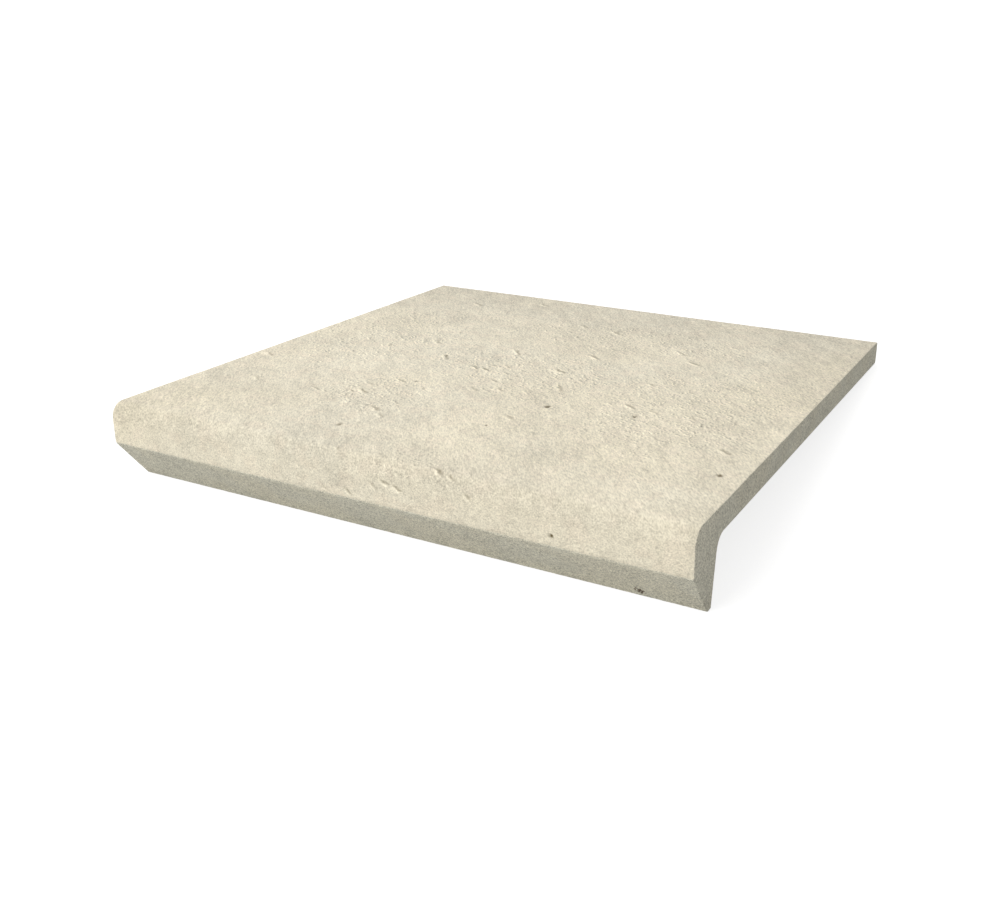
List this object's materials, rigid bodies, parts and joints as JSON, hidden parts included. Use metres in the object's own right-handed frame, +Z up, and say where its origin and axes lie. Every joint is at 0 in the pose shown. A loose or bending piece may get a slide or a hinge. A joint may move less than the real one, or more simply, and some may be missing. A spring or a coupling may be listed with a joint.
{
  "type": "stair tread tile",
  "caption": "Clinker stair tread tile with a rounded nose and a bevelled drip skirt along its front edge, in matt cream glaze.",
  "frame": {"origin": "centre of the footprint on the level floor that the tile rests on", "axes": "+X along the nose, to the right seen from the front; +Y from the nose to the back edge; +Z up. The tile lies unheld on the floor, on the foot of its skirt and its lower back edge, so its tread plane slopes down towards +Y by 5.74 degrees"},
  "size_m": [0.3, 0.3292, 0.0452],
  "materials": {
    "glazed_clinker": "matte"
  },
  "bodies": {
    "root": {"stair_tread": "glazed_clinker"}
  },
  "joints": []
}
